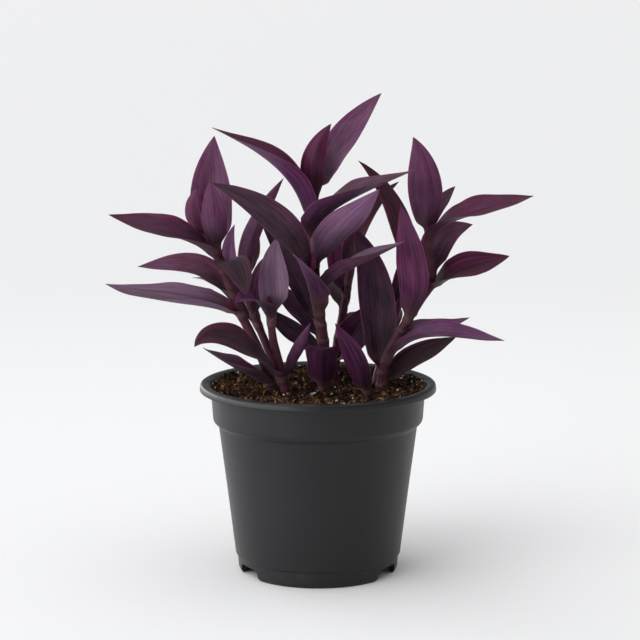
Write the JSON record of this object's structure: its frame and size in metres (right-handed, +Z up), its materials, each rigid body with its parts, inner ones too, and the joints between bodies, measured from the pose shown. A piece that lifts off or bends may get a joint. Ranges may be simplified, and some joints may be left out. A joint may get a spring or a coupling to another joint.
{
  "type": "potted tradescantia",
  "caption": "Small purple-leaved trailing plant with pointed, folded leaves on upright shoots, rooted in peat potting mix in a round black tapered nursery pot with a rolled rim.",
  "frame": {"origin": "centre of the pot's foot ring, on the surface that the pot stands on", "axes": "+Z up, along the pot's axis; +X to the right of the plant's front; -Y towards the front"},
  "size_m": [0.18, 0.1016, 0.205],
  "materials": {
    "pot": "satin charcoal-black moulded plastic",
    "peat": "loose dark brown peat with fibres and perlite",
    "stem": "smooth, slightly glossy purple-brown skin",
    "leaf": "satin purple skin with a pale bloom and fine hairs",
    "bud": "satin magenta skin"
  },
  "bodies": {
    "root": {"pot": "pot", "left_stem": "stem", "left_leaf_1": "leaf", "left_leaf_2": "leaf", "left_leaf_3": "leaf", "left_leaf_4": "leaf", "left_leaf_5": "leaf", "left_leaf_6": "leaf", "left_leaf_7": "leaf", "left_leaf_8": "leaf", "front_left_stem": "stem", "front_left_leaf_1": "leaf", "front_left_leaf_2": "leaf", "front_left_leaf_3": "leaf", "front_left_leaf_4": "leaf", "back_left_stem": "stem", "back_left_leaf_1": "leaf", "back_left_leaf_2": "leaf", "back_left_leaf_3": "leaf", "back_left_leaf_4": "leaf", "back_left_leaf_5": "leaf", "centre_stem": "stem", "centre_leaf_1": "leaf", "centre_leaf_2": "leaf", "centre_leaf_3": "leaf", "centre_leaf_4": "leaf", "centre_leaf_5": "leaf", "centre_leaf_6": "leaf", "centre_leaf_7": "leaf", "centre_leaf_8": "leaf", "centre_leaf_9": "leaf", "centre_leaf_10": "leaf", "back_stem": "stem", "back_leaf_1": "leaf", "back_leaf_2": "leaf", "back_leaf_3": "leaf", "back_leaf_4": "leaf", "back_leaf_5": "leaf", "right_stem": "stem", "right_leaf_1": "leaf", "right_leaf_2": "leaf", "right_leaf_3": "leaf", "right_leaf_4": "leaf", "right_leaf_5": "leaf", "right_leaf_6": "leaf", "right_leaf_7": "leaf", "right_leaf_8": "leaf", "right_leaf_9": "leaf", "right_leaf_10": "leaf", "right_leaf_11": "leaf", "back_right_stem": "stem", "back_right_leaf_1": "leaf", "back_right_leaf_2": "leaf", "back_right_leaf_3": "leaf", "front_right_stem": "stem", "front_right_leaf_1": "leaf", "front_stem": "stem", "front_leaf_1": "leaf", "potting_mix": "peat", "centre_bud": "bud"}
  },
  "joints": []
}
